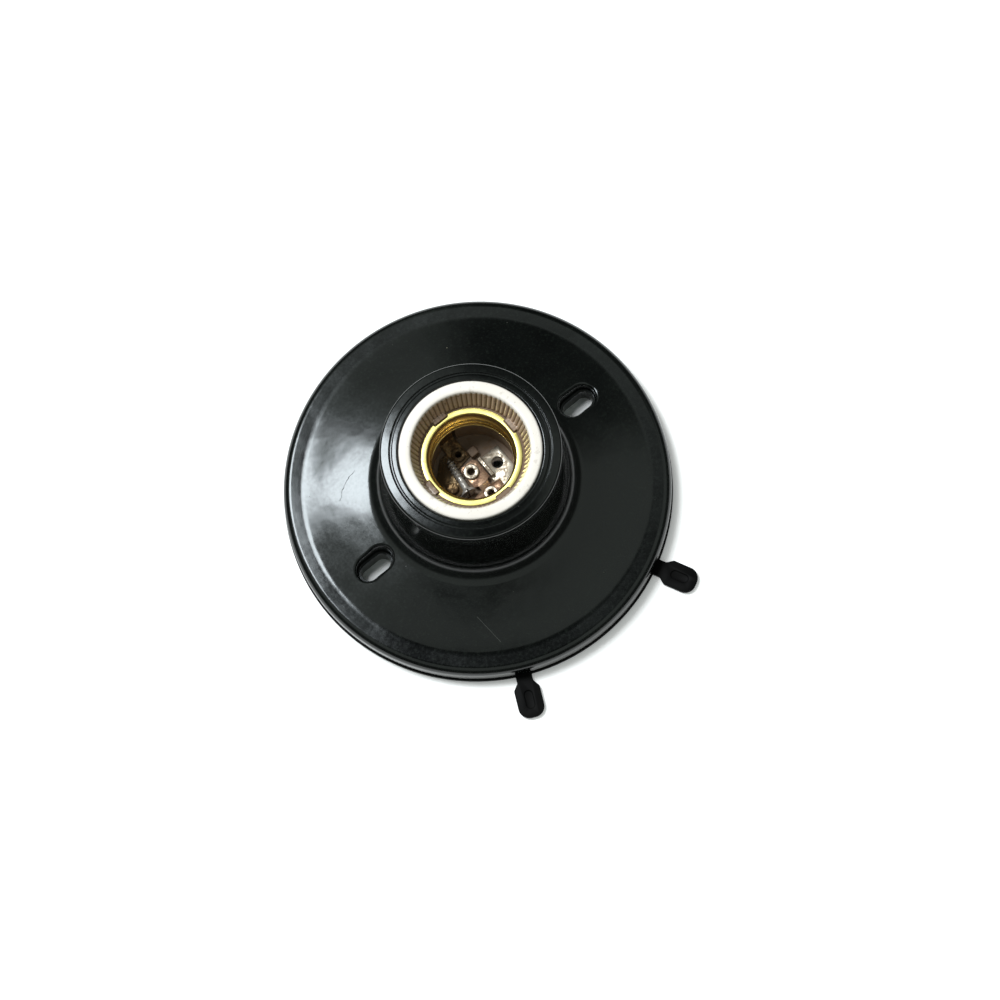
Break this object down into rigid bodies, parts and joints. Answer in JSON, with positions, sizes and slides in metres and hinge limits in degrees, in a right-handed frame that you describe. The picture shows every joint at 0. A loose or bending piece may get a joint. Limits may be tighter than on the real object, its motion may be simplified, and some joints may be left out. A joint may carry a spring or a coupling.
{
  "type": "batten lamp holder",
  "caption": "Round surface-mounted lamp holder: black moulded flange and neck, porcelain core with a brass screw shell and a sprung centre contact, backing ring with ears.",
  "frame": {"origin": "on the lamp axis, in the mounting plane that touches the wall or ceiling", "axes": "+Z along the lamp axis, out of the socket; +X along the line of the two fixing slots; the backing ring's ears point to -Y"},
  "size_m": [0.1196, 0.1261, 0.0465],
  "materials": {
    "phenolic": "black moulded phenolic, glossy, with faint flow streaks, scratches and dust",
    "ring_rubber": "flat black moulded rubber",
    "porcelain": "white porcelain, browned with heat and dirt inside",
    "shell_brass": "pale yellow brass, satin",
    "strap_brass": "dulled brass strip",
    "aged_plate": "darkened plated brass",
    "nickel_plate": "bright nickel plate, stamped",
    "contact_bronze": "phosphor bronze, nickel worn to copper at the corners",
    "aged_screw": "brown tarnished screw head",
    "zinc_steel": "zinc plated steel",
    "screw_steel": "dark steel with bright thread crests"
  },
  "bodies": {
    "holder": {"housing": "phenolic", "backing_ring": "ring_rubber", "porcelain_core": "porcelain", "screw_shell": "shell_brass", "shell_strap": "strap_brass", "neutral_plate": "aged_plate", "line_plate": "nickel_plate", "contact_rivet": "nickel_plate", "shell_rivet": "aged_plate", "contact_washer": "zinc_steel", "shell_washer": "zinc_steel", "neutral_screw": "aged_screw", "core_screw_1": "zinc_steel", "core_washer_1": "zinc_steel", "core_screw_2": "zinc_steel", "core_washer_2": "zinc_steel", "loose_screw": "screw_steel"},
    "contact": {"centre_contact": "contact_bronze", "contact_button": "nickel_plate"}
  },
  "joints": [
    {"name": "contact_flex", "type": "hinge", "parent": "holder", "child": "contact", "pos_m": [0, -0.0078, 0.0192], "axis": [-1, 0, 0], "range_deg": [0, 6], "stiffness_Nm_per_rad": 0.5}
  ]
}
